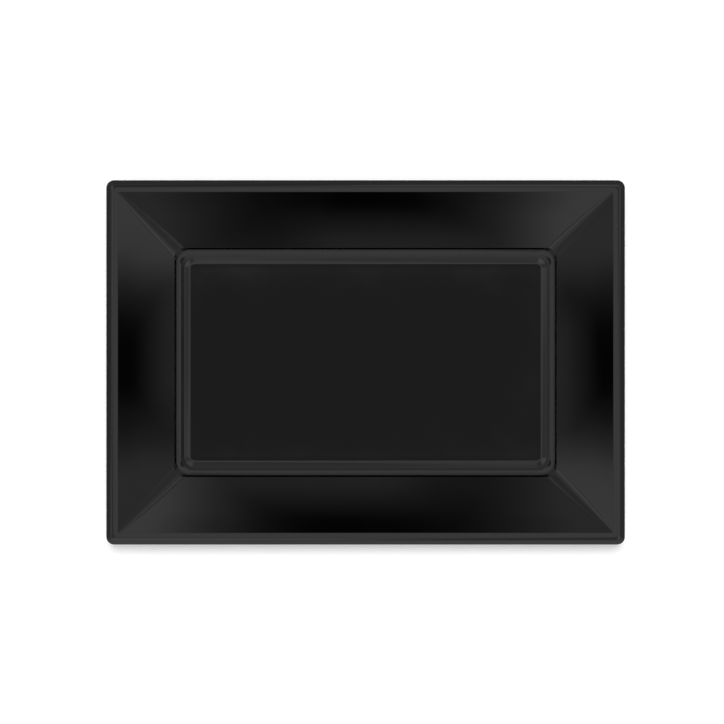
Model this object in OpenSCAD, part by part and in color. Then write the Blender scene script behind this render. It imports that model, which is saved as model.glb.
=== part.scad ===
// Rectangular serving tray, moulded in one piece from thin black plastic.
// A flat shallow well stands on a low foot. Round the well run a low rise and a narrow ledge with a
// small step behind it, then four wide sloping rim panels that meet in mitred valleys, then a
// bevelled lip with a turned-down skirt.
// Origin at the middle of the footprint, on the table. X runs along the long side, Z is up.
// All lengths are in millimetres, all angles in degrees.

/* [Overall] */
// Length over the skirt, along X
tray_length = 330; // [280:1:420]
// Width over the skirt, along Y
tray_width = 232; // [190:1:320]
// Height from the table to the top of the lip
tray_height = 17.5; // [15:0.5:28]
// Thickness of the moulded wall
wall = 1.5; // [1:0.1:2]
// Corner radius of the outline
outline_corner = 5; // [4:0.5:12]

/* [Lip] */
// Plan width from the outline to the ridge where the rim panels start
lip_width = 7.7; // [7:0.1:12]
// Height of the skirt, from the top of the lip to its free edge
skirt_height = 5.5; // [4.5:0.1:8]
// Lean of the skirt out of upright
skirt_draft = 3.5; // [1:0.5:8]
// Radius of the edge between the skirt and the rim
rim_radius = 0.4; // [0.2:0.1:1]
// Plan width of the rim, the steeper outer part of the lip
rim_width = 2.8; // [2:0.1:3.2]
// Slope of the rim
rim_slope = 19; // [13:0.5:25]
// Plan width of the bevel between the rim and the flat of the lip
bevel_width = 1.8; // [1:0.1:2.2]
// Slope of the bevel
bevel_slope = 10; // [5:0.5:12]
// Radius between the rim and the bevel
bevel_radius = 4; // [1:0.5:10]
// Slope of the flat of the lip
lip_slope = 0.5; // [0:0.1:2]
// Radius between the bevel and the flat of the lip
lip_radius = 10; // [2:0.5:15]
// Radius of the ridge between the lip and a rim panel
ridge_radius = 0.8; // [0.3:0.1:2]
// Corner radius of the ridge in plan
ridge_corner = 1.6; // [1:0.1:4]

/* [Rim panels] */
// Plan width of a rim panel
panel_width = 34.9; // [25:0.1:40]
// Sag of a rim panel below the straight line between its edges
panel_dish = 0.3; // [0:0.05:0.6]
// Radius of the edge where a panel drops to the ledge
mouth_radius = 0.25; // [0.1:0.05:0.6]
// Corner radius of that edge in plan
mouth_corner = 6.5; // [4:0.1:9]

/* [Ledge] */
// Drop from a panel to the ledge
step_height = 1.7; // [1:0.1:2.5]
// Lean of that drop out of upright
step_draft = 33; // [15:1:40]
// Radius at the foot of the drop
step_radius = 0.25; // [0.1:0.05:0.6]
// Corner radius of the foot of the drop in plan
step_corner = 9; // [7:0.1:11]
// Plan width of the ledge
ledge_width = 4.9; // [4:0.1:7]
// Plan width of the level part of the ledge, beside the well
level_width = 2; // [1:0.1:2.5]
// Slope of the level part, negative where it falls outwards
level_slope = -1; // [-2:0.1:2]
// Slope where the ledge starts to curve up
bend_slope = 6.5; // [4:0.5:8]
// Slope of the ledge at the foot of the drop
back_slope = 12; // [9:0.5:16]
// Radius between the level part and the bend
bend_radius = 5; // [1:0.5:10]
// Radius between the two slopes of the bend
back_radius = 12; // [2:0.5:20]
// Corner radius of the ledge in plan
ledge_corner = 8; // [6:0.1:10]

/* [Well] */
// Depth from the crest beside the ledge to the floor
well_depth = 1; // [0.6:0.1:3]
// Slope of the rise round the floor
well_slope = 15.5; // [12:0.5:30]
// Radius of the crest between the ledge and the rise
crest_radius = 6; // [1:0.5:10]
// Corner radius of the crest in plan
crest_corner = 7; // [4:0.1:8.5]
// Radius between the rise and the floor
floor_radius = 8; // [2:0.5:12]
// Corner radius of the floor in plan
floor_corner = 3; // [2:0.1:6]

/* [Foot] */
// Height of the foot below the floor's underside
foot_height = 1; // [0.6:0.1:2]
// Plan width of the foot between its two edges
foot_width = 3; // [2:0.1:6]
// Lean of the foot's outer side out of upright
foot_draft = 15; // [5:1:30]
// Radius of the foot's edges
foot_radius = 0.5; // [0.3:0.1:0.6]

/* [Mould marks] */
// Radius of the gate mark under the middle of the floor
gate_radius = 1.8; // [1:0.1:3]
// Radius of an ejector mark
ejector_radius = 4; // [2:0.5:6]
// Distance from an ejector mark to the inner edge of the foot
ejector_inset = 14; // [8:1:25]
// Ejector marks along the well
ejectors_long = 4; // [2:1:6]
// Ejector marks across the well
ejectors_wide = 2; // [2:1:4]

/* [Hidden] */

corner_steps = 10;         // facets round a quarter turn of a corner, in plan
fillet_turn = 12;          // largest turn of one facet of a fillet of the section
panel_rows = 5;            // edges between the rows of facets of a rim panel
mark_sides = 48;           // sides of a round mark
edge_radius = wall / 3;    // rounding of the skirt's free edge
bevel_corner = outline_corner / 2; // corner radius of the bevel's two edges, in plan
gate_clearance = 0.4;      // gap between the gate mark and the table
ejector_height = 0.15;     // how far an ejector mark stands out of the floor's underside
mark_root = 0.3;           // how deep a mark is rooted in the floor
least_corner = 0.6;        // smallest corner radius of a ring
least_fillet = 0.3;        // smallest fillet on the inner side of a bend of the wall
least_reach = 0.005;       // a fillet that reaches less far along its straights is left sharp
fillet_share = 0.98;       // largest share of a straight that its two fillets may take
floor_end_corner = 2;      // corner radius of the innermost ring, where the floor is flat

// Heights on the top of the skin, from the floor out to the skirt
floor_top = foot_height + wall;
crest_top = floor_top + well_depth;
bend_top = crest_top + level_width * tan(level_slope);
half_back = (ledge_width - level_width) / 2;
back_top = bend_top + half_back * tan(bend_slope);
ledge_top = back_top + half_back * tan(back_slope);
mouth_top = ledge_top + step_height;
lip_top = tray_height - (lip_width - bevel_width - rim_width) * tan(lip_slope);
bevel_top = lip_top - bevel_width * tan(bevel_slope);
rim_top = bevel_top - rim_width * tan(rim_slope);
skirt_bottom = tray_height - skirt_height;

// Insets from the outline. The skirt's lower corner overhangs the outline by as much as its
// rounding takes away.
skirt_overhang = edge_radius * (tan(skirt_draft) + 1 / cos(skirt_draft) - 1);
rim = (rim_top - skirt_bottom) * tan(skirt_draft) - skirt_overhang;
mouth = lip_width + panel_width;
ledge_back = mouth + step_height * tan(step_draft);
crest = ledge_back + ledge_width;
rise_foot = crest + well_depth / tan(well_slope);
floor_edge = rise_foot + floor_radius / 2;

// The section through one side is a path of corners, from the skirt's free edge to the floor.
// A corner is [inset from the outline, height, fillet radius, corner radius in plan].

// Corner on a rim panel, at a share of its width. The valley between two panels opens from the
// ridge's corner radius to the mouth's, quickly at first.
function panel_corner(share) =
    let (
        sag = 4 * panel_dish * share * (1 - share),
        opening = 1 - (1 - share) * (1 - share)
    )
    [
        lip_width + share * panel_width,
        tray_height + share * (mouth_top - tray_height) - sag,
        0,
        ridge_corner + opening * (mouth_corner - ridge_corner)
    ];

top_corners = concat(
    [
        [-skirt_overhang, skirt_bottom, edge_radius, outline_corner],
        [rim, rim_top, rim_radius, outline_corner],
        [rim + rim_width, bevel_top, bevel_radius, bevel_corner],
        [rim + rim_width + bevel_width, lip_top, lip_radius, bevel_corner],
        [lip_width, tray_height, ridge_radius, ridge_corner],
    ],
    [for (row = [1 : panel_rows]) panel_corner(row / (panel_rows + 1))],
    [
        [mouth, mouth_top, mouth_radius, mouth_corner],
        [ledge_back, ledge_top, step_radius, step_corner],
        [ledge_back + half_back, back_top, back_radius, ledge_corner],
        [crest - level_width, bend_top, bend_radius, ledge_corner],
        [crest, crest_top, crest_radius, crest_corner],
        [rise_foot, floor_top, floor_radius, floor_corner],
        [floor_edge, floor_top, 0, floor_end_corner],
    ]
);

// Place of a corner in the plane of the section
function place(corner) = [corner.x, corner.y];

// Unit direction from corner a to corner b, in the plane of the section
function heading(a, b) = let (d = place(b) - place(a)) d / norm(d);

// Normal of a heading on the side where the plastic is
function inward(t) = [t.y, -t.x];

// Corner b of the path a, b, c moved one wall thickness into the plastic, with its fillet and its
// plan corner grown or shrunk to match, so that the wall stays even
function under_corner(a, b, c) =
    let (
        n1 = inward(heading(a, b)),
        n2 = inward(heading(b, c)),
        shift = wall * (n1 + n2) / (1 + n1 * n2),
        hollow = cross(n1, n2) > 0,
        moved_fillet = hollow ? b[2] + wall : max(b[2] - wall, least_fillet)
    )
    [
        b.x + shift.x,
        b.y + shift.y,
        b[2] == 0 ? 0 : moved_fillet,
        max(b[3] - shift.x, least_corner)
    ];

// The underside repeats the top's corners as far as the level part of the ledge, then makes the foot
skirt_wall = wall / cos(skirt_draft) - skirt_overhang;
foot_root = crest_top - wall;
foot_outer = crest + foot_root * tan(foot_draft);
foot_inner = foot_outer + foot_width;
foot_end = foot_inner + foot_height; // the foot's inner side leans by as much as it is high
under_edge = foot_end + 2 * foot_height; // from here inwards the underside of the floor is flat

under_corners = concat(
    [[skirt_wall, skirt_bottom, edge_radius, outline_corner - wall]],
    [
        for (i = [1 : len(top_corners) - 4])
        under_corner(top_corners[i - 1], top_corners[i], top_corners[i + 1])
    ],
    [
        [crest, foot_root, foot_radius, crest_corner],
        [foot_outer, 0, foot_radius, crest_corner],
        [foot_inner, 0, foot_radius, floor_corner],
        [foot_end, foot_height, foot_radius, floor_corner],
        [under_edge, foot_height, 0, floor_corner],
    ]
);

// The whole section, from the floor's top out over the lip and back under the floor
section = concat(
    [for (i = [len(top_corners) - 1 : -1 : 0]) top_corners[i]],
    under_corners
);
last_corner = len(section) - 1;

// Angle by which the section turns at corner i
function turn(i) =
    let (cosine = heading(section[i - 1], section[i]) * heading(section[i], section[i + 1]))
    acos(min(1, max(-1, cosine)));

// Length of the section from corner i to the next
function straight(i) = norm(place(section[i + 1]) - place(section[i]));

// How far the fillet of corner i would reach along its two straights
function wanted_reach(i) =
    i == 0 || i == last_corner ? 0 : section[i][2] * tan(turn(i) / 2);

// Share of the two wanted reaches that the straight from corner i has room for
function fitting_share(i) =
    let (wanted = wanted_reach(i) + wanted_reach(i + 1))
    wanted == 0 ? 1 : min(1, fillet_share * straight(i) / wanted);

// Points [inset, height, plan corner radius] that round corner i of the section
function rounded_corner(i) =
    let (
        b = section[i],
        t1 = heading(section[i - 1], b),
        angle = turn(i),
        side = cross(t1, heading(b, section[i + 1])) > 0 ? 1 : -1,
        reach = wanted_reach(i) * min(fitting_share(i - 1), fitting_share(i)),
        start = place(b) - reach * t1,
        centre = start + side * reach / tan(angle / 2) * [-t1.y, t1.x],
        arm = start - centre,
        corner1 = b[3] + (section[i - 1][3] - b[3]) * reach / straight(i - 1),
        corner2 = b[3] + (section[i + 1][3] - b[3]) * reach / straight(i),
        steps = ceil(angle / fillet_turn)
    )
    reach < least_reach
        ? [[b.x, b.y, b[3]]]
        : [
            for (k = [0 : steps])
            let (
                share = k / steps,
                swing = side * angle * share,
                p = centre + [
                    arm.x * cos(swing) - arm.y * sin(swing),
                    arm.x * sin(swing) + arm.y * cos(swing)
                ]
            )
            [p.x, p.y, corner1 + (corner2 - corner1) * share]
        ];

section_points = [
    for (i = [0 : last_corner])
    each (
        i == 0 || i == last_corner
            ? [[section[i].x, section[i].y, section[i][3]]]
            : rounded_corner(i)
    )
];

// Ring of the skin at one section point: a rectangle that follows the outline, with round corners
function ring(p) =
    let (
        half_x = tray_length / 2 - p.x,
        half_y = tray_width / 2 - p.x,
        radius = p[2]
    )
    [
        for (quarter = [0 : 3], k = [0 : corner_steps])
        let (
            angle = 90 * (quarter + k / corner_steps),
            sx = quarter == 0 || quarter == 3 ? 1 : -1,
            sy = quarter < 2 ? 1 : -1
        )
        [
            sx * (half_x - radius) + radius * cos(angle),
            sy * (half_y - radius) + radius * sin(angle),
            p.y
        ]
    ];

// Closed skin through a list of rings, with a flat face at the first ring and at the last
module skin(rings) {
    sides = len(rings[0]);
    last = (len(rings) - 1) * sides;
    polyhedron(
        points = [for (r = rings) each r],
        faces = concat(
            [[for (j = [sides - 1 : -1 : 0]) j]],
            [[for (j = [0 : sides - 1]) last + j]],
            [
                for (i = [0 : len(rings) - 2], j = [0 : sides - 1])
                let (
                    a = i * sides + j,
                    b = i * sides + (j + 1) % sides,
                    c = b + sides,
                    d = a + sides
                )
                each [[a, b, c], [a, c, d]]
            ]
        )
    );
}

module moulded_skin() {
    skin([for (p = section_points) ring(p)]);
}

// Low round mark on the underside of the floor
module mark(radius, height) {
    translate([0, 0, foot_height - height])
        cylinder(r = radius, h = height + mark_root, $fn = mark_sides);
}

// Ejector marks stand in a grid inside the foot
module ejector_marks() {
    reach_x = tray_length / 2 - foot_inner - ejector_inset;
    reach_y = tray_width / 2 - foot_inner - ejector_inset;
    for (i = [0 : ejectors_long - 1], j = [0 : ejectors_wide - 1])
        translate([
            reach_x * (2 * i / (ejectors_long - 1) - 1),
            reach_y * (2 * j / (ejectors_wide - 1) - 1),
            0
        ])
            mark(ejector_radius, ejector_height);
}

module tray() {
    color("#1c1c1b")
        union() {
            moulded_skin();
            mark(gate_radius, foot_height - gate_clearance);
            ejector_marks();
        }
}

tray();
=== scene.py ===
# %% [markdown]
# # A black moulded serving tray
#
# The real tray is one thin skin of black polystyrene, injection moulded in one shot. From the
# middle outwards it has a flat floor, a low rise, a narrow ledge with a small step behind it, four
# wide sloping rim panels that meet in mitred valleys, and a lip whose edge turns down into a skirt.
#
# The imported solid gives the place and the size. This script sets up the camera, models the finished
# skin over the solid in metres, in the same frame, and then makes the plastic and the studio.

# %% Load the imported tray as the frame
import math
from collections import namedtuple

import bmesh
import bpy
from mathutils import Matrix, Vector


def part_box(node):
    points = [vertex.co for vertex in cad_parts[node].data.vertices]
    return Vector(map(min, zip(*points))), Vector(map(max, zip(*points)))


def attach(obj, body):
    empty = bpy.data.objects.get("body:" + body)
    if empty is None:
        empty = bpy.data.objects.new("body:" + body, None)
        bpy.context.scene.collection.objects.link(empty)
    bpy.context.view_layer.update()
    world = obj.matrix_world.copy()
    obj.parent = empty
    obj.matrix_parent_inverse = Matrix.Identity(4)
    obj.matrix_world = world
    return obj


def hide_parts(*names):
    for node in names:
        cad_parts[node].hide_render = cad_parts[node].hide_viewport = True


MM = 0.001

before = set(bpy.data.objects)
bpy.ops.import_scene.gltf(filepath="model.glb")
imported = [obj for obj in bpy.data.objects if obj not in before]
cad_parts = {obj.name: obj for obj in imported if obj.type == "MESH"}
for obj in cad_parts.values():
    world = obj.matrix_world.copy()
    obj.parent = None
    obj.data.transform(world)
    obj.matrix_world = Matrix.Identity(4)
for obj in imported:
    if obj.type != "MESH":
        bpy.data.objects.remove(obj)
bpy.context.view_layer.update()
bpy.ops.object.select_all(action="DESELECT")

low, high = (Vector(corner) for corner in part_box("tray"))
length, width, height = high - low
print(f"packed nodes: {list(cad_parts)}")
print(f"tray: {length / MM:.1f} x {width / MM:.1f} x {height / MM:.1f} mm")

# %% [markdown]
# ## The camera
#
# The photograph looks straight down: the ridge, the ledge and the floor share one centre, so no
# side shows more wall than the other. A camera without rotation already looks along -Z with +Y up.
# A long lens from more than a metre away keeps the small difference in scale between lip and floor
# that the photograph shows. Its distance follows from the tray's length in the picture.

# %% Place the camera above the tray
IMAGE_SIZE = 724
OUTLINE_PIXELS = 519.5
CENTRE_PIXEL = (365.6, 362.4)
OUTLINE_HEIGHT = 16.5 * MM
# Blender takes these two in millimetres.
LENS = 98
SENSOR = 36

pixels_per_metre = OUTLINE_PIXELS / length
distance = IMAGE_SIZE * LENS / SENSOR / pixels_per_metre
camera_x = (IMAGE_SIZE / 2 - CENTRE_PIXEL[0]) / pixels_per_metre
camera_y = (CENTRE_PIXEL[1] - IMAGE_SIZE / 2) / pixels_per_metre

bpy.ops.object.camera_add(
    location=(camera_x, camera_y, OUTLINE_HEIGHT + distance), rotation=(0, 0, 0)
)
camera = bpy.context.object
camera.name = "camera"
camera.data.lens = LENS
camera.data.sensor_width = SENSOR
bpy.context.scene.camera = camera
print(f"camera: {camera.location.z:.3f} m above the table")

# %% [markdown]
# ## The section through one side
#
# A moulder draws this tray as one section that runs round the rectangle. From the outside in, it has
# a skirt, a bevelled lip, a wide panel, a small step, a ledge that is level beside the well and curves
# up to the step, a low rise and the floor. Gloss makes even a degree of slope visible, so the lip,
# the ledge and the rise are given by their slopes.
#
# The section could be swept along the outline, but then the four valleys would keep one radius, and
# on the real tray they open from nearly sharp at the lip to a broad fillet. So each corner of the
# section also carries its own corner radius in plan, and the skin is lofted through rings.
#
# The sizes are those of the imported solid. Only the slope of the ledge's level part, the radii at its
# two sides and the radius between the rim and the bevel differ, by less than a tenth of a millimetre
# of shape: they were fitted last, to the thin dark line that the photograph shows on the ledge at the
# tray's two ends, and to the even lip, which shows no such line.
#
# Of the names below, a RADIUS rounds the section and a CORNER is a radius in plan.

# %% Size the skirt and the lip
WALL = 1.5 * MM
OUTLINE_CORNER = 5 * MM
SKIRT_HEIGHT = 5.5 * MM
SKIRT_DRAFT = math.radians(3.5)
EDGE_RADIUS = WALL / 3
RIM_WIDTH = 2.8 * MM
RIM_SLOPE = math.radians(19)
RIM_RADIUS = 0.4 * MM
BEVEL_WIDTH = 1.8 * MM
BEVEL_SLOPE = math.radians(10)
BEVEL_RADIUS = 1.5 * MM
BEVEL_CORNER = OUTLINE_CORNER / 2
LIP_WIDTH = 7.7 * MM
LIP_SLOPE = math.radians(0.5)
LIP_RADIUS = 10 * MM
RIDGE_RADIUS = 0.8 * MM
RIDGE_CORNER = 1.6 * MM

lip_top = height - (LIP_WIDTH - BEVEL_WIDTH - RIM_WIDTH) * math.tan(LIP_SLOPE)
bevel_top = lip_top - BEVEL_WIDTH * math.tan(BEVEL_SLOPE)
rim_top = bevel_top - RIM_WIDTH * math.tan(RIM_SLOPE)
skirt_bottom = height - SKIRT_HEIGHT
# The skirt's rounded edge touches the outline, so the corner that it rounds lies outside it.
skirt_overhang = EDGE_RADIUS * (math.tan(SKIRT_DRAFT) + 1 / math.cos(SKIRT_DRAFT) - 1)
rim = (rim_top - skirt_bottom) * math.tan(SKIRT_DRAFT) - skirt_overhang
print(f"lip: {LIP_WIDTH / MM:.1f} mm wide, its rim {(height - rim_top) / MM:.1f} mm below the ridge")

# %% Size the floor and the ledge
FOOT_HEIGHT = 1 * MM
FLOOR_RADIUS = 8 * MM
FLOOR_CORNER = 3 * MM
FLOOR_END_CORNER = 2 * MM
WELL_DEPTH = 1 * MM
WELL_SLOPE = math.radians(15.5)
CREST_RADIUS = 2 * MM
CREST_CORNER = 7 * MM
LEDGE_WIDTH = 4.9 * MM
LEDGE_CORNER = 8 * MM
LEVEL_WIDTH = 2 * MM
LEVEL_SLOPE = math.radians(-0.3)
BEND_SLOPE = math.radians(6.5)
BEND_RADIUS = 1.5 * MM
BACK_SLOPE = math.radians(12)
BACK_RADIUS = 12 * MM

floor_top = FOOT_HEIGHT + WALL
crest_top = floor_top + WELL_DEPTH
bend_top = crest_top + LEVEL_WIDTH * math.tan(LEVEL_SLOPE)
half_back = (LEDGE_WIDTH - LEVEL_WIDTH) / 2
back_top = bend_top + half_back * math.tan(BEND_SLOPE)
ledge_top = back_top + half_back * math.tan(BACK_SLOPE)
print(f"well: floor at {floor_top / MM:.1f} mm, back of the ledge at {ledge_top / MM:.1f} mm")

# %% Size the panels and the step
PANEL_WIDTH = 34.9 * MM
PANEL_DISH = 0.3 * MM
PANEL_ROWS = 5
MOUTH_RADIUS = 0.25 * MM
MOUTH_CORNER = 6.5 * MM
STEP_HEIGHT = 1.7 * MM
STEP_DRAFT = math.radians(33)
STEP_RADIUS = 0.25 * MM
STEP_CORNER = 9 * MM

mouth_top = ledge_top + STEP_HEIGHT
mouth = LIP_WIDTH + PANEL_WIDTH
ledge_back = mouth + STEP_HEIGHT * math.tan(STEP_DRAFT)
crest = ledge_back + LEDGE_WIDTH
bend = crest - LEVEL_WIDTH
rise_foot = crest + WELL_DEPTH / math.tan(WELL_SLOPE)
floor_edge = rise_foot + FLOOR_RADIUS / 2
print(f"panel: falls {(height - mouth_top) / MM:.1f} mm over {PANEL_WIDTH / MM:.1f} mm")

# %% List the corners, from the skirt's free edge to the floor
# The inset is from the outline, the fillet rounds the section, and plan is the radius in plan.
Corner = namedtuple("Corner", "inset level fillet plan")


def panel_corner(share):
    """A corner on a rim panel, which sags in a parabola between the ridge and the step."""
    sag = 4 * PANEL_DISH * share * (1 - share)
    opening = 1 - (1 - share) ** 2
    return Corner(
        inset=LIP_WIDTH + share * PANEL_WIDTH,
        level=height + share * (mouth_top - height) - sag,
        fillet=0,
        plan=RIDGE_CORNER + opening * (MOUTH_CORNER - RIDGE_CORNER),
    )


top_corners = [
    Corner(-skirt_overhang, skirt_bottom, EDGE_RADIUS, OUTLINE_CORNER),
    Corner(rim, rim_top, RIM_RADIUS, OUTLINE_CORNER),
    Corner(rim + RIM_WIDTH, bevel_top, BEVEL_RADIUS, BEVEL_CORNER),
    Corner(rim + RIM_WIDTH + BEVEL_WIDTH, lip_top, LIP_RADIUS, BEVEL_CORNER),
    Corner(LIP_WIDTH, height, RIDGE_RADIUS, RIDGE_CORNER),
    *(panel_corner(row / (PANEL_ROWS + 1)) for row in range(1, PANEL_ROWS + 1)),
    Corner(mouth, mouth_top, MOUTH_RADIUS, MOUTH_CORNER),
    Corner(ledge_back, ledge_top, STEP_RADIUS, STEP_CORNER),
    Corner(ledge_back + half_back, back_top, BACK_RADIUS, LEDGE_CORNER),
    Corner(bend, bend_top, BEND_RADIUS, LEDGE_CORNER),
    Corner(crest, crest_top, CREST_RADIUS, CREST_CORNER),
    Corner(rise_foot, floor_top, FLOOR_RADIUS, FLOOR_CORNER),
    Corner(floor_edge, floor_top, 0, FLOOR_END_CORNER),
]
print(f"section: {len(top_corners)} corners on top")

# %% [markdown]
# ## The underside of the section
#
# A mould keeps the wall even, because thick places sink as they cool. So the underside is the top
# moved one wall thickness into the plastic, with the radii grown or shrunk to match. Only the foot
# is its own: a low rim under the well's rise that keeps the floor's underside off the table.

# %% Move the corners through the wall
LEAST_CORNER = 0.6 * MM
LEAST_FILLET = 0.3 * MM
# The foot takes the place of the last corners on top: the crest, the rise's foot and the floor.
FOOT_CORNERS = 3


def spot(corner):
    """Place of a corner in the plane of the section."""
    return Vector((corner.inset, corner.level))


def heading(a, b):
    """Unit direction from corner a to corner b in the plane of the section."""
    return (spot(b) - spot(a)).normalized()


def under_corner(a, b, c):
    """Corner b of the path a, b, c on the other side of the wall."""
    first, second = heading(a, b), heading(b, c)
    first_normal = Vector((first.y, -first.x))
    second_normal = Vector((second.y, -second.x))
    shift = WALL * (first_normal + second_normal) / (1 + first_normal.dot(second_normal))
    hollow = first.cross(second) > 0
    fillet = b.fillet + WALL if hollow else max(b.fillet - WALL, LEAST_FILLET)
    if b.fillet == 0:
        fillet = 0
    plan = max(b.plan - shift.x, LEAST_CORNER)
    return Corner(b.inset + shift.x, b.level + shift.y, fillet, plan)


last_moved = len(top_corners) - FOOT_CORNERS
moved_corners = [under_corner(*top_corners[i - 1 : i + 2]) for i in range(1, last_moved)]
print(f"section: {len(moved_corners)} corners moved through the wall")

# %% Add the skirt's inner edge and the foot
FOOT_WIDTH = 3 * MM
FOOT_DRAFT = math.radians(15)
FOOT_RADIUS = 0.5 * MM
UNDER_STRAIGHT = 2 * MM

skirt_wall = WALL / math.cos(SKIRT_DRAFT) - skirt_overhang
foot_root = crest_top - WALL
foot_outer = crest + foot_root * math.tan(FOOT_DRAFT)
foot_inner = foot_outer + FOOT_WIDTH
foot_end = foot_inner + FOOT_HEIGHT
under_edge = foot_end + UNDER_STRAIGHT

under_corners = [
    Corner(skirt_wall, skirt_bottom, EDGE_RADIUS, OUTLINE_CORNER - WALL),
    *moved_corners,
    Corner(crest, foot_root, FOOT_RADIUS, CREST_CORNER),
    Corner(foot_outer, 0, FOOT_RADIUS, CREST_CORNER),
    Corner(foot_inner, 0, FOOT_RADIUS, FLOOR_CORNER),
    Corner(foot_end, FOOT_HEIGHT, FOOT_RADIUS, FLOOR_CORNER),
    Corner(under_edge, FOOT_HEIGHT, 0, FLOOR_CORNER),
]
section = top_corners[::-1] + under_corners
print(f"section: {len(section)} corners in all, foot {FOOT_WIDTH / MM:.0f} mm wide")

# %% [markdown]
# ## Rounded corners of the section
#
# Each fillet is an arc that touches both straights. How far it reaches along them follows from its
# radius and the turn. Where two neighbours want more than their straight has, both give way in the
# same proportion. The plan radius runs evenly from one end of an arc to the other, so that a valley
# opens without a step.

# %% Measure how far the fillets reach
FILLET_SHARE = 0.98

# The two ends of the section are the edges of the floor and its underside, and have no fillet.
filleted = range(1, len(section) - 1)


def turn(i):
    """Angle by which the section turns at corner i."""
    return heading(*section[i - 1 : i + 1]).angle(heading(*section[i : i + 2]), 0)


def straight(i):
    """Length of the section from corner i to the next."""
    return (spot(section[i + 1]) - spot(section[i])).length


def wanted_reach(i):
    """How far the fillet of corner i would reach along its straights."""
    return section[i].fillet * math.tan(turn(i) / 2) if i in filleted else 0


def fitting_share(i):
    """Share of the two wanted reaches that the straight from corner i has room for."""
    wanted = wanted_reach(i) + wanted_reach(i + 1)
    return min(1, FILLET_SHARE * straight(i) / wanted) if wanted else 1


reaches = {i: wanted_reach(i) * min(fitting_share(i - 1), fitting_share(i)) for i in filleted}
print(f"fillets: the widest reaches {max(reaches.values()) / MM:.1f} mm")

# %% Work out the rings
FILLET_STEP = math.radians(5)
LEAST_STEPS = 3
LEAST_REACH = 0.005 * MM

Ring = namedtuple("Ring", "inset level plan")


def plain_ring(corner):
    """The ring through a corner without a fillet."""
    return Ring(corner.inset, corner.level, corner.plan)


def rounded_corner(i):
    """Rings along the arc that rounds corner i of the section."""
    a, b, c = section[i - 1 : i + 2]
    reach = reaches[i]
    if reach < LEAST_REACH:
        return [plain_ring(b)]
    first, second = heading(a, b), heading(b, c)
    side = 1 if first.cross(second) > 0 else -1
    start = spot(b) - reach * first
    centre = start + side * reach / math.tan(turn(i) / 2) * Vector((-first.y, first.x))
    arm = start - centre
    start_plan = b.plan + (a.plan - b.plan) * reach / straight(i - 1)
    end_plan = b.plan + (c.plan - b.plan) * reach / straight(i)
    steps = max(LEAST_STEPS, math.ceil(turn(i) / FILLET_STEP))
    arc = []
    for step in range(steps + 1):
        share = step / steps
        swing = side * turn(i) * share
        inset = centre.x + arm.x * math.cos(swing) - arm.y * math.sin(swing)
        level = centre.y + arm.x * math.sin(swing) + arm.y * math.cos(swing)
        arc.append(Ring(inset, level, start_plan + (end_plan - start_plan) * share))
    return arc


rings = [plain_ring(section[0])]
for i in filleted:
    rings += rounded_corner(i)
rings.append(plain_ring(section[-1]))
print(f"rings: {len(rings)}")

# %% [markdown]
# ## The skin
#
# Each ring starts as a plane, is sized with a resize and gets its four corners with a vertex bevel,
# which makes true arcs. Its vertices go into a group and its face is deleted, so that a loop stays.
# Then each loop is bridged to the next, and the first and the last are filled: they are the floor
# and its underside. All rings have as many points, so the bridges are clean strips of quads.
#
# Two rings in one plane with one centre give the bridge no direction, and it can twist. So the
# rings first stand in a tower, one step apart, and are pushed to their heights once they are joined.

# %% Stack the rings
CORNER_STEPS = 10
ROUND_PROFILE = 0.5
TOWER_STEP = 5 * MM


def open_empty_mesh():
    """Adds a plane, empties its mesh and stays in edit mode, so that new primitives go into it."""
    bpy.ops.object.select_all(action="DESELECT")
    bpy.ops.mesh.primitive_plane_add(size=length)
    bpy.ops.object.mode_set(mode="EDIT")
    bpy.ops.mesh.delete(type="VERT")
    return bpy.context.object


tray = open_empty_mesh()
tray.name = tray.data.name = "tray_shell"
for index, ring in enumerate(rings):
    centre = (0, 0, index * TOWER_STEP)
    ring_size = (length - 2 * ring.inset, width - 2 * ring.inset, 1)
    bpy.ops.mesh.primitive_plane_add(size=1, location=centre)
    bpy.ops.transform.resize(value=ring_size, center_override=centre)
    bpy.ops.mesh.bevel(
        offset=ring.plan, segments=CORNER_STEPS, profile=ROUND_PROFILE, affect="VERTICES"
    )
    bpy.ops.object.vertex_group_add()
    bpy.ops.object.vertex_group_assign()
    bpy.ops.mesh.delete(type="ONLY_FACE")
print(f"tower: {len(tray.vertex_groups)} rings")

# %% Bridge the rings and push them to their heights


def select_rings(*indices):
    """Selects the rings with these numbers and nothing else."""
    bpy.ops.mesh.select_all(action="DESELECT")
    for index in indices:
        tray.vertex_groups.active_index = index
        bpy.ops.object.vertex_group_select()


for index in range(len(rings) - 1):
    select_rings(index, index + 1)
    bpy.ops.mesh.bridge_edge_loops()

for index in (0, len(rings) - 1):
    select_rings(index)
    bpy.ops.mesh.edge_face_add()

for index, ring in enumerate(rings):
    select_rings(index)
    bpy.ops.transform.translate(value=(0, 0, ring.level - index * TOWER_STEP))

bpy.ops.mesh.select_all(action="SELECT")
bpy.ops.mesh.normals_make_consistent(inside=False)
bpy.ops.object.mode_set(mode="OBJECT")
bpy.ops.object.vertex_group_remove(all=True)
print(f"skin: {len(tray.data.vertices)} points, {len(tray.data.polygons)} faces")

# %% [markdown]
# ## Mould marks under the floor
#
# Plastic enters the mould through a gate in the middle of the floor, which leaves a short nub, and
# round pins push the tray out, which leave faint discs. They are cylinders with an inset end that is
# pushed out for a chamfer, merged with the floor by a Boolean so that no face stays in the wall.

# %% Place the gate nub and the ejector marks
GATE_RADIUS = 1.8 * MM
GATE_HEIGHT = 0.6 * MM
EJECTOR_RADIUS = 4 * MM
EJECTOR_HEIGHT = 0.15 * MM
EJECTOR_INSET = 14 * MM
EJECTORS_LONG = 4
EJECTORS_WIDE = 2

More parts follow.
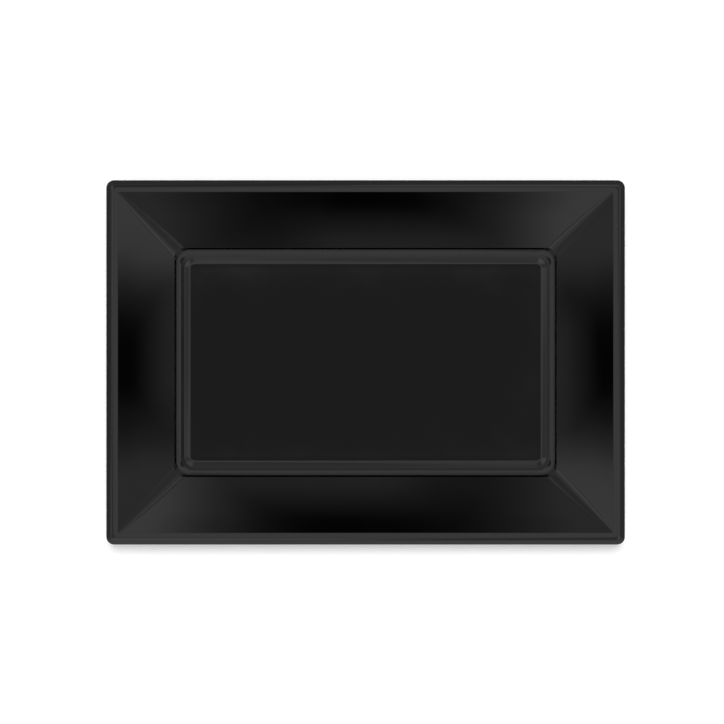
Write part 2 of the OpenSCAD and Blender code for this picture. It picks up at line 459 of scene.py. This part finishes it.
reach_x = length / 2 - foot_inner - EJECTOR_INSET
reach_y = width / 2 - foot_inner - EJECTOR_INSET
marks = [(0, 0, GATE_RADIUS, GATE_HEIGHT)]
for i in range(EJECTORS_LONG):
    for j in range(EJECTORS_WIDE):
        x = reach_x * (2 * i / (EJECTORS_LONG - 1) - 1)
        y = reach_y * (2 * j / (EJECTORS_WIDE - 1) - 1)
        marks.append((x, y, EJECTOR_RADIUS, EJECTOR_HEIGHT))
print(f"marks: {len(marks)} under the floor")

# %% Model the marks
MARK_ROOT = 0.3 * MM
MARK_SIDES = 48
CHAMFER_SHARE = 0.3
FACING_DOWN = -0.5

mark_set = open_empty_mesh()
bpy.ops.mesh.select_mode(type="FACE")
for x, y, radius, mark_height in marks:
    chamfer = mark_height * CHAMFER_SHARE
    depth = mark_height - chamfer + MARK_ROOT
    middle = FOOT_HEIGHT + MARK_ROOT - depth / 2
    bpy.ops.mesh.primitive_cylinder_add(
        vertices=MARK_SIDES, radius=radius, depth=depth, location=(x, y, middle)
    )
    mesh = bmesh.from_edit_mesh(mark_set.data)
    for face in mesh.faces:
        face.select_set(face.select and face.normal.z < FACING_DOWN)
    bmesh.update_edit_mesh(mark_set.data)
    bpy.ops.mesh.inset(thickness=chamfer)
    bpy.ops.transform.translate(value=(0, 0, -chamfer))
bpy.ops.object.mode_set(mode="OBJECT")
print(f"marks: {len(mark_set.data.polygons)} faces")

# %% Merge the marks with the floor
bpy.ops.object.select_all(action="DESELECT")
tray.select_set(True)
bpy.context.view_layer.objects.active = tray
union = tray.modifiers.new("marks", "BOOLEAN")
union.operation = "UNION"
union.solver = "EXACT"
union.object = mark_set
bpy.ops.object.modifier_apply(modifier=union.name)
bpy.data.objects.remove(mark_set)
print(f"tray: {len(tray.data.polygons)} faces with its marks")

# %% [markdown]
# ## Smooth shading
#
# Gloss shows every wrong normal. Smooth shading alone averages the broad panels with the narrow
# fillets beside them and bends the reflections on the flats. Weighted normals let the larger face
# win, so the flats stay flat and only the fillets turn.

# %% Shade the skin
SHARP_ANGLE = math.radians(50)

bpy.ops.object.shade_smooth_by_angle(angle=SHARP_ANGLE)
weighted = tray.modifiers.new("weighted normals", "WEIGHTED_NORMAL")
weighted.mode = "FACE_AREA"
weighted.keep_sharp = True
bpy.ops.object.modifier_apply(modifier=weighted.name)

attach(tray, "root")
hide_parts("tray")
print("tray_shell rides on root and stands for the packed solid")

# %% [markdown]
# ## The plastic
#
# The tray is polystyrene coloured through with carbon black, moulded against a polished steel
# tool. Almost all that the eye gets is the clear reflection on its surface, so the base is close to
# black and the index of refraction, 1.59, sets the brightness. A thin moulding is never quite
# true: its panels wave a little over some centimetres, the polish leaves a fine ripple, and
# handling leaves faint dull patches.

# %% Dull the polish where the tray is handled
POLISH_ROUGHNESS = 0.05
HANDLED_ROUGHNESS = 0.08
SMUDGE_SIZE = 35 * MM
SMUDGE_DETAIL = 5
SMUDGE_GRAIN = 0.6
SMUDGE_START = 0.45
SMUDGE_FULL = 0.75


def add_node(tree, kind, inputs=None, **settings):
    """Adds a node. settings are its own, and inputs fills its sockets with values or links."""
    node = tree.nodes.new(kind)
    for name, value in settings.items():
        setattr(node, name, value)
    for socket, value in (inputs or {}).items():
        if isinstance(value, bpy.types.NodeSocket):
            tree.links.new(value, node.inputs[socket])
        else:
            node.inputs[socket].default_value = value
    return node


plastic = bpy.data.materials.new("moulded_black_polystyrene")
plastic.use_nodes = True
tree = plastic.node_tree
tree.nodes.clear()
place = add_node(tree, "ShaderNodeTexCoord").outputs["Object"]
smudges = add_node(
    tree,
    "ShaderNodeTexNoise",
    {
        "Vector": place,
        "Scale": 1 / SMUDGE_SIZE,
        "Detail": SMUDGE_DETAIL,
        "Roughness": SMUDGE_GRAIN,
    },
)
roughness = add_node(
    tree,
    "ShaderNodeMapRange",
    {
        "Value": smudges.outputs["Fac"],
        "From Min": SMUDGE_START,
        "From Max": SMUDGE_FULL,
        "To Min": POLISH_ROUGHNESS,
        "To Max": HANDLED_ROUGHNESS,
    },
)
print(f"plastic: roughness {POLISH_ROUGHNESS} to {HANDLED_ROUGHNESS}")

# %% Wave and ripple the surface
WAVE_SIZE = 90 * MM
WAVE_DETAIL = 1
WAVE_HEIGHT = 0.01 * MM
RIPPLE_SIZE = 2.5 * MM
RIPPLE_DETAIL = 2
RIPPLE_HEIGHT = 0.0006 * MM

waves = add_node(
    tree,
    "ShaderNodeTexNoise",
    {"Vector": place, "Scale": 1 / WAVE_SIZE, "Detail": WAVE_DETAIL},
)
wave_bump = add_node(
    tree,
    "ShaderNodeBump",
    {"Height": waves.outputs["Fac"], "Strength": 1, "Distance": WAVE_HEIGHT},
)
ripple = add_node(
    tree,
    "ShaderNodeTexNoise",
    {"Vector": place, "Scale": 1 / RIPPLE_SIZE, "Detail": RIPPLE_DETAIL},
)
ripple_bump = add_node(
    tree,
    "ShaderNodeBump",
    {
        "Height": ripple.outputs["Fac"],
        "Strength": 1,
        "Distance": RIPPLE_HEIGHT,
        "Normal": wave_bump.outputs["Normal"],
    },
)
print(f"plastic: waves of {WAVE_SIZE / MM:.0f} mm and a ripple of {RIPPLE_SIZE / MM:.1f} mm")

# %% Put the plastic on the tray
PLASTIC_COLOUR = "#020202"
POLYSTYRENE_IOR = 1.59


def linear_colour(hex_colour):
    """Linear RGBA of an sRGB hex colour, by the formula of the sRGB standard."""
    channels = [int(hex_colour[i : i + 2], 16) / 255 for i in (1, 3, 5)]
    linear = [c / 12.92 if c <= 0.04045 else ((c + 0.055) / 1.055) ** 2.4 for c in channels]
    return (*linear, 1)


surface = add_node(
    tree,
    "ShaderNodeBsdfPrincipled",
    {
        "Base Color": linear_colour(PLASTIC_COLOUR),
        "IOR": POLYSTYRENE_IOR,
        "Roughness": roughness.outputs["Result"],
        "Normal": ripple_bump.outputs["Normal"],
    },
)
add_node(tree, "ShaderNodeOutputMaterial", {"Surface": surface.outputs["BSDF"]})

tray.data.materials.clear()
tray.data.materials.append(plastic)
print(f"plastic: {len(tree.nodes)} nodes")

# %% [markdown]
# ## The paper sweep
#
# The photograph's background is plain white with a soft shadow under one edge. A floor that is
# white only by light would need more light on the tray than it should have. So the floor has a grey
# diffuse part, which takes the shadow, and a little glow of its own for camera, glossy and
# transmission rays, which lifts it to white. Its rim slopes up, so that a low camera sees no end of
# it. An upright rim would cast a shadow on the floor, and this one is only lit a little less, which
# a stronger glow makes up for.

# %% Lay the paper
SWEEP_RADIUS = 5
SWEEP_SIDES = 96
COVE_HEIGHT = 0.5
COVE_SLOPE = math.radians(45)

bpy.ops.object.select_all(action="DESELECT")
bpy.ops.mesh.primitive_circle_add(vertices=SWEEP_SIDES, radius=SWEEP_RADIUS, fill_type="NGON")
floor = bpy.context.object
floor.name = floor.data.name = "floor"
bpy.ops.object.mode_set(mode="EDIT")
bpy.ops.mesh.select_mode(type="EDGE")
bpy.ops.mesh.extrude_edges_move(TRANSFORM_OT_translate={"value": (0, 0, COVE_HEIGHT)})
cove_stretch = 1 + COVE_HEIGHT / math.tan(COVE_SLOPE) / SWEEP_RADIUS
bpy.ops.transform.resize(
    value=(cove_stretch, cove_stretch, 1), center_override=(0, 0, COVE_HEIGHT)
)
bpy.ops.object.mode_set(mode="OBJECT")
print(f"floor: {SWEEP_RADIUS} m in radius, its rim {COVE_HEIGHT} m high")

# %% Make the paper glow where it is seen
PAPER_COLOUR = "#cccccc"
PAPER_GLOW = 0.395
COVE_GLOW = 0.75

paper = bpy.data.materials.new("white_paper_sweep")
paper.use_nodes = True
tree = paper.node_tree
tree.nodes.clear()
path = add_node(tree, "ShaderNodeLightPath")
seen = add_node(
    tree,
    "ShaderNodeMath",
    {0: path.outputs["Is Camera Ray"], 1: path.outputs["Is Glossy Ray"]},
    operation="MAXIMUM",
)
seen_through = add_node(
    tree,
    "ShaderNodeMath",
    {0: seen.outputs[0], 1: path.outputs["Is Transmission Ray"]},
    operation="MAXIMUM",
)
normal = add_node(tree, "ShaderNodeNewGeometry").outputs["Normal"]
normal_parts = add_node(tree, "ShaderNodeSeparateXYZ", {0: normal})
level_share = add_node(
    tree, "ShaderNodeMath", {0: normal_parts.outputs["Z"]}, operation="ABSOLUTE"
)
own_glow = add_node(
    tree,
    "ShaderNodeMapRange",
    {
        "Value": level_share.outputs[0],
        "From Min": math.cos(COVE_SLOPE),
        "To Min": COVE_GLOW,
        "To Max": PAPER_GLOW,
    },
)
glow_level = add_node(
    tree,
    "ShaderNodeMath",
    {0: seen_through.outputs[0], 1: own_glow.outputs[0]},
    operation="MULTIPLY",
)
glow = add_node(tree, "ShaderNodeEmission", {"Strength": glow_level.outputs[0]})
matt = add_node(tree, "ShaderNodeBsdfDiffuse", {"Color": linear_colour(PAPER_COLOUR)})
both = add_node(tree, "ShaderNodeAddShader", {0: matt.outputs[0], 1: glow.outputs[0]})
add_node(tree, "ShaderNodeOutputMaterial", {"Surface": both.outputs[0]})
floor.data.materials.append(paper)
print(f"paper: {len(tree.nodes)} nodes")

# %% [markdown]
# ## The studio
#
# Black gloss shows the room, so the lights are modelled as what they are: a cloth diffuser overhead
# with a gap for the camera, four softboxes on the diagonals, which leave dark gaps along the two
# axes, and boards near the horizon. They are drawn in the world by direction, which is simpler than
# hanging lamps, because the tray is small beside the room.
#
# A direction's lean is the sine of its angle off the zenith, scaled a little along each axis, and
# its bearing is its compass angle. In the photograph each panel is bright at one end and dim at the
# other, in the same turning sense all round. The pinwheel stands for that: it is positive on the
# bright side of each axis and negative on the dim side.

# %% Read the direction
LEAN_SCALE = (1.054, 0.988, 0)
PINWHEEL_VANES = 4

world = bpy.data.worlds.new("studio")
bpy.context.scene.world = world
world.use_nodes = True
tree = world.node_tree
tree.nodes.clear()
direction = add_node(tree, "ShaderNodeTexCoord").outputs["Generated"]
parts = add_node(tree, "ShaderNodeSeparateXYZ", {0: direction})
from_x = add_node(tree, "ShaderNodeMath", {0: parts.outputs["X"]}, operation="ABSOLUTE")
from_y = add_node(tree, "ShaderNodeMath", {0: parts.outputs["Y"]}, operation="ABSOLUTE")
level_part = add_node(
    tree, "ShaderNodeVectorMath", {0: direction, 1: LEAN_SCALE}, operation="MULTIPLY"
)
level_length = add_node(
    tree, "ShaderNodeVectorMath", {0: level_part.outputs[0]}, operation="LENGTH"
)
lean = level_length.outputs["Value"]
bearing = add_node(
    tree, "ShaderNodeMath", {0: parts.outputs["Y"], 1: parts.outputs["X"]}, operation="ARCTAN2"
)
vane_angle = add_node(
    tree, "ShaderNodeMath", {0: bearing.outputs[0], 1: PINWHEEL_VANES}, operation="MULTIPLY"
)
pinwheel = add_node(tree, "ShaderNodeMath", {0: vane_angle.outputs[0]}, operation="SINE")
print(f"studio: direction read with {len(tree.nodes)} nodes")

# %% [markdown]
# ### The diffuser
#
# Its cloth is even round the zenith. Further out it is bright along four seams, which twist with the
# lean and shade off more slowly on one side, and it is darker between them: the mitred valleys show
# each seam as a bright line with a dim side. A pale hem runs round the cloth, and the far half of both
# is a little dimmer. Outside the hem the light fades, from a dimmer start but more slowly on the dim
# side of each axis.
#
# The cloth between one seam and the next is a gore, as in an umbrella. A direction's place
# across its gore runs from 0 to 1, and all four seams lie at the same place.

# %% Measure from the seams
QUARTER_TURN = math.pi / 2
CLOTH_TWIST = 2
CLOTH_OFFSET = 0.1
SEAM = 0.77
SEAM_SKEW = 0.4

twist = add_node(
    tree, "ShaderNodeMath", {0: lean, 1: CLOTH_TWIST, 2: CLOTH_OFFSET}, operation="MULTIPLY_ADD"
)
quarter = add_node(
    tree,
    "ShaderNodeMath",
    {0: bearing.outputs[0], 1: 1 / QUARTER_TURN, 2: twist.outputs[0]},
    operation="MULTIPLY_ADD",
)
gore = add_node(tree, "ShaderNodeMath", {0: quarter.outputs[0]}, operation="FRACT")
off_seam = add_node(
    tree, "ShaderNodeMath", {0: gore.outputs[0], 1: SEAM}, operation="SUBTRACT"
)
before_seam = add_node(
    tree, "ShaderNodeMath", {0: off_seam.outputs[0], 1: -SEAM_SKEW}, operation="MULTIPLY"
)
from_seam = add_node(
    tree,
    "ShaderNodeMath",
    {0: off_seam.outputs[0], 1: before_seam.outputs[0]},
    operation="MAXIMUM",
)
print(f"studio: {len(tree.nodes)} nodes with the seams")

# %% Shade the cloth
SEAM_BRIGHT = 0.12
SEAM_DARK = 0.22
CLOTH_BRIGHT = 1.4
CLOTH_MIDDLE = 0.85
BRIGHT_START = 0.36
BRIGHT_FULL = 0.42
CLOTH_DARK = 0.56
CLOTH_START = 0.24
CLOTH_END = 0.3

bright_cloth = add_node(
    tree,
    "ShaderNodeMapRange",
    {
        "Value": lean,
        "From Min": BRIGHT_START,
        "From Max": BRIGHT_FULL,
        "To Min": CLOTH_MIDDLE,
        "To Max": CLOTH_BRIGHT,
    },
)
seamed_cloth = add_node(
    tree,
    "ShaderNodeMapRange",
    {
        "Value": from_seam.outputs[0],
        "From Min": SEAM_BRIGHT,
        "From Max": SEAM_DARK,
        "To Min": bright_cloth.outputs[0],
        "To Max": CLOTH_DARK,
    },
)
cloth = add_node(
    tree,
    "ShaderNodeMapRange",
    {
        "Value": lean,
        "From Min": CLOTH_START,
        "From Max": CLOTH_END,
        "To Min": 1,
        "To Max": seamed_cloth.outputs[0],
    },
)
print(f"studio: {len(tree.nodes)} nodes with the cloth")

# %% Fade the light outside the hem
FADE_START = 0.507
FADE_LEVEL = 0.38
FADE_END = 0.565
DIM_FADE_LEVEL = 0.187
DIM_FADE_END = 0.592
DIM_SIDE = -0.26
BRIGHT_SIDE = -0.13

bright_fade = add_node(
    tree,
    "ShaderNodeMapRange",
    {
        "Value": lean,
        "From Min": FADE_START,
        "From Max": FADE_END,
        "To Min": FADE_LEVEL,
        "To Max": 0,
    },
)
dim_fade = add_node(
    tree,
    "ShaderNodeMapRange",
    {
        "Value": lean,
        "From Min": FADE_START,
        "From Max": DIM_FADE_END,
        "To Min": DIM_FADE_LEVEL,
        "To Max": 0,
    },
)
fade = add_node(
    tree,
    "ShaderNodeMapRange",
    {
        "Value": pinwheel.outputs[0],
        "From Min": DIM_SIDE,
        "From Max": BRIGHT_SIDE,
        "To Min": dim_fade.outputs[0],
        "To Max": bright_fade.outputs[0],
    },
)
print(f"studio: {len(tree.nodes)} nodes with the fade")

# %% Join the cloth, the hem and the fade
FAR_START = 0.15
FAR_END = 0.3
FAR_LEVEL = 0.85
HEM_START = 0.44
HEM_FULL = 0.47
HEM_LEVEL = 0.8
HEM_END = 0.49

far = add_node(
    tree,
    "ShaderNodeMapRange",
    {
        "Value": parts.outputs["Y"],
        "From Min": FAR_START,
        "From Max": FAR_END,
        "To Min": 1,
        "To Max": FAR_LEVEL,
    },
)
far_cloth = add_node(
    tree, "ShaderNodeMath", {0: cloth.outputs[0], 1: far.outputs[0]}, operation="MULTIPLY"
)
far_hem = add_node(
    tree, "ShaderNodeMath", {0: far.outputs[0], 1: HEM_LEVEL}, operation="MULTIPLY"
)
hem = add_node(
    tree,
    "ShaderNodeMapRange",
    {
        "Value": lean,
        "From Min": HEM_END,
        "From Max": FADE_START,
        "To Min": far_hem.outputs[0],
        "To Max": fade.outputs[0],
    },
)
diffuser = add_node(
    tree,
    "ShaderNodeMapRange",
    {
        "Value": lean,
        "From Min": HEM_START,
        "From Max": HEM_FULL,
        "To Min": far_cloth.outputs[0],
        "To Max": hem.outputs[0],
    },
)
print(f"studio: {len(tree.nodes)} nodes with the diffuser")

# %% [markdown]
# ### The softboxes
#
# Each of the four boxes is brighter on one side, always the same one, so that every panel is bright
# at one end and dim at the other. Towards the axes they fade with the third power of the distance,
# and their upper parts reach a little nearer to the axes.

# %% Leave the gaps along the axes
GAP_WIDTH = 0.0567
GAP_STRETCH = 1.9
WIDE_LEAN = 0.555
NARROW_LEAN = 0.58
WIDENING = 1.08
BOX_FALL = 3

from_x_even = add_node(
    tree, "ShaderNodeMath", {0: from_x.outputs[0], 1: GAP_STRETCH}, operation="DIVIDE"
)
from_axis = add_node(
    tree, "ShaderNodeMath", {0: from_x_even.outputs[0], 1: from_y.outputs[0]}, operation="MINIMUM"
)
widening = add_node(
    tree,
    "ShaderNodeMapRange",
    {
        "Value": lean,
        "From Min": WIDE_LEAN,
        "From Max": NARROW_LEAN,
        "To Min": WIDENING,
        "To Max": 1,
    },
)
widened = add_node(
    tree, "ShaderNodeMath", {0: from_axis.outputs[0], 1: widening.outputs[0]}, operation="MULTIPLY"
)
out_of_gap = add_node(
    tree, "ShaderNodeMapRange", {"Value": widened.outputs[0], "From Max": GAP_WIDTH}
)
softbox = add_node(
    tree, "ShaderNodeMath", {0: out_of_gap.outputs[0], 1: BOX_FALL}, operation="POWER"
)
print(f"studio: {len(tree.nodes)} nodes with the gaps")

# %% Light the softboxes
DIM_BOX = 0.5
BOX_BLEND = 0.6
BOX_START = 0.42
BOX_FULL = 0.48

box_level = add_node(
    tree,
    "ShaderNodeMapRange",
    {
        "Value": pinwheel.outputs[0],
        "From Min": -BOX_BLEND,
        "From Max": BOX_BLEND,
        "To Min": DIM_BOX,
        "To Max": 1,
    },
)
box_share = add_node(
    tree,
    "ShaderNodeMapRange",
    {
        "Value": lean,
        "From Min": BOX_START,
        "From Max": BOX_FULL,
        "To Min": 0,
        "To Max": box_level.outputs[0],
    },
)
softboxes = add_node(
    tree,
    "ShaderNodeMath",
    {0: softbox.outputs[0], 1: box_share.outputs[0]},
    operation="MULTIPLY",
)
lights = add_node(
    tree,
    "ShaderNodeMath",
    {0: diffuser.outputs[0], 1: softboxes.outputs[0]},
    operation="MAXIMUM",
)
print(f"studio: {len(tree.nodes)} nodes with the softboxes")

# %% [markdown]
# ### The boards
#
# The rim shows what is low in the room: a white board in front and greyer ones behind and at the two
# ends. They stop short of the horizon, so that the steep steps round the ledge stay dark. Only the
# corners have boards down to the horizon, because the photograph's steps are not black there.

# %% Draw the boards all round
FRONT_BOARD = 1.25
BACK_BOARD = 0.4
END_BOARD = 0.45
BOARD_EDGE = 0.5
BOARD_FALL = 0.8
BOARD_FOOT = 0.9

board_level = add_node(
    tree,
    "ShaderNodeMapRange",
    {
        "Value": parts.outputs["Y"],
        "From Min": -1,
        "From Max": 1,
        "To Min": FRONT_BOARD,
        "To Max": BACK_BOARD,
    },
)
board_ring = add_node(
    tree,
    "ShaderNodeMapRange",
    {
        "Value": from_y.outputs[0],
        "From Max": BOARD_EDGE,
        "To Min": END_BOARD,
        "To Max": board_level.outputs[0],
    },
)
boards = add_node(
    tree,
    "ShaderNodeMapRange",
    {
        "Value": lean,
        "From Min": BOARD_FALL,
        "From Max": BOARD_FOOT,
        "To Min": board_ring.outputs[0],
        "To Max": 0,
    },
)
print(f"studio: {len(tree.nodes)} nodes with the boards")

# %% Add the corner boards and hang the lights above them
CORNER_START = 0.2
CORNER_FULL = 0.35
CORNER_BOARD = 0.55
BOARD_START = 0.61
BOARD_END = 0.65

off_both = add_node(
    tree, "ShaderNodeMath", {0: from_x.outputs[0], 1: from_y.outputs[0]}, operation="MULTIPLY"
)
corner_boards = add_node(
    tree,
    "ShaderNodeMapRange",
    {
        "Value": off_both.outputs[0],
        "From Min": CORNER_START,
        "From Max": CORNER_FULL,
        "To Max": CORNER_BOARD,
    },
)
all_boards = add_node(
    tree,
    "ShaderNodeMath",
    {0: boards.outputs[0], 1: corner_boards.outputs[0]},
    operation="MAXIMUM",
)
room = add_node(
    tree,
    "ShaderNodeMapRange",
    {
        "Value": lean,
        "From Min": BOARD_START,
        "From Max": BOARD_END,
        "To Min": lights.outputs[0],
        "To Max": all_boards.outputs[0],
    },
)
print(f"studio: {len(tree.nodes)} nodes with the corner boards")

# %% [markdown]
# ### The camera's gap
#
# The camera looks down through a gap in the diffuser. The flat floor reflects just this gap, which is
# why it is darker than the ledge round it. The gap's front edge is soft, which dims the near ledge.

# %% Shape the gap
CAMERA_GAP_CENTRE = (-0.0035, -0.016, 0)
CAMERA_GAP_HALVES = {"X": 0.1045, "Y": 0.0695}
CAMERA_GAP_SOFT = 0.0015
CAMERA_GAP_FRONT = -0.047
CAMERA_GAP_FRONT_END = -0.081

gap_offset = add_node(
    tree, "ShaderNodeVectorMath", {0: direction, 1: CAMERA_GAP_CENTRE}, operation="SUBTRACT"
)
gap_away = add_node(
    tree, "ShaderNodeVectorMath", {0: gap_offset.outputs[0]}, operation="ABSOLUTE"
)
gap_parts = add_node(tree, "ShaderNodeSeparateXYZ", {0: gap_away.outputs[0]})
camera_gap = add_node(
    tree,
    "ShaderNodeMapRange",
    {
        "Value": parts.outputs["Y"],
        "From Min": CAMERA_GAP_FRONT_END,
        "From Max": CAMERA_GAP_FRONT,
    },
)
for axis, half in CAMERA_GAP_HALVES.items():
    within = add_node(
        tree,
        "ShaderNodeMapRange",
        {
            "Value": gap_parts.outputs[axis],
            "From Min": half - CAMERA_GAP_SOFT,
            "From Max": half + CAMERA_GAP_SOFT,
            "To Min": 1,
            "To Max": 0,
        },
    )
    camera_gap = add_node(
        tree,
        "ShaderNodeMath",
        {0: camera_gap.outputs[0], 1: within.outputs[0]},
        operation="MULTIPLY",
    )
print(f"studio: {len(tree.nodes)} nodes with the camera's gap")

# %% Set the level of the studio
CAMERA_GAP_LEVEL = 0.27
STUDIO_LEVEL = 0.76
STUDIO_COLOUR = "#ffffff"

studio = add_node(
    tree,
    "ShaderNodeMapRange",
    {"Value": camera_gap.outputs[0], "To Min": room.outputs[0], "To Max": CAMERA_GAP_LEVEL},
)
strength = add_node(
    tree, "ShaderNodeMath", {0: studio.outputs[0], 1: STUDIO_LEVEL}, operation="MULTIPLY"
)
background = add_node(
    tree,
    "ShaderNodeBackground",
    {"Color": linear_colour(STUDIO_COLOUR), "Strength": strength.outputs[0]},
)
add_node(tree, "ShaderNodeOutputWorld", {"Surface": background.outputs[0]})
print(f"studio: {len(tree.nodes)} nodes in all")

# %% [markdown]
# ## The shadow lamp
#
# The shadow lies under the near edge, so one broad lamp stands beyond the far edge. A sun with a wide
# angle gives the same soft edge everywhere. It stays out of the reflections, which the studio
# already makes.

# %% Add the lamp
LAMP_STRENGTH = 2.35
LAMP_WIDTH = math.radians(26)
LAMP_LEAN = math.radians(19.5)

bpy.ops.object.light_add(type="SUN", rotation=(-LAMP_LEAN, 0, 0))
lamp = bpy.context.object
lamp.name = "shadow_lamp"
lamp.data.energy = LAMP_STRENGTH
lamp.data.angle = LAMP_WIDTH
lamp.visible_glossy = False
print(f"lamp: {math.degrees(LAMP_WIDTH):.0f} degrees wide")

# %% [markdown]
# ## Finish
#
# The view transform is Standard, so that a colour renders as it is written.

# %% Set the view transform
bpy.context.scene.view_settings.view_transform = "Standard"
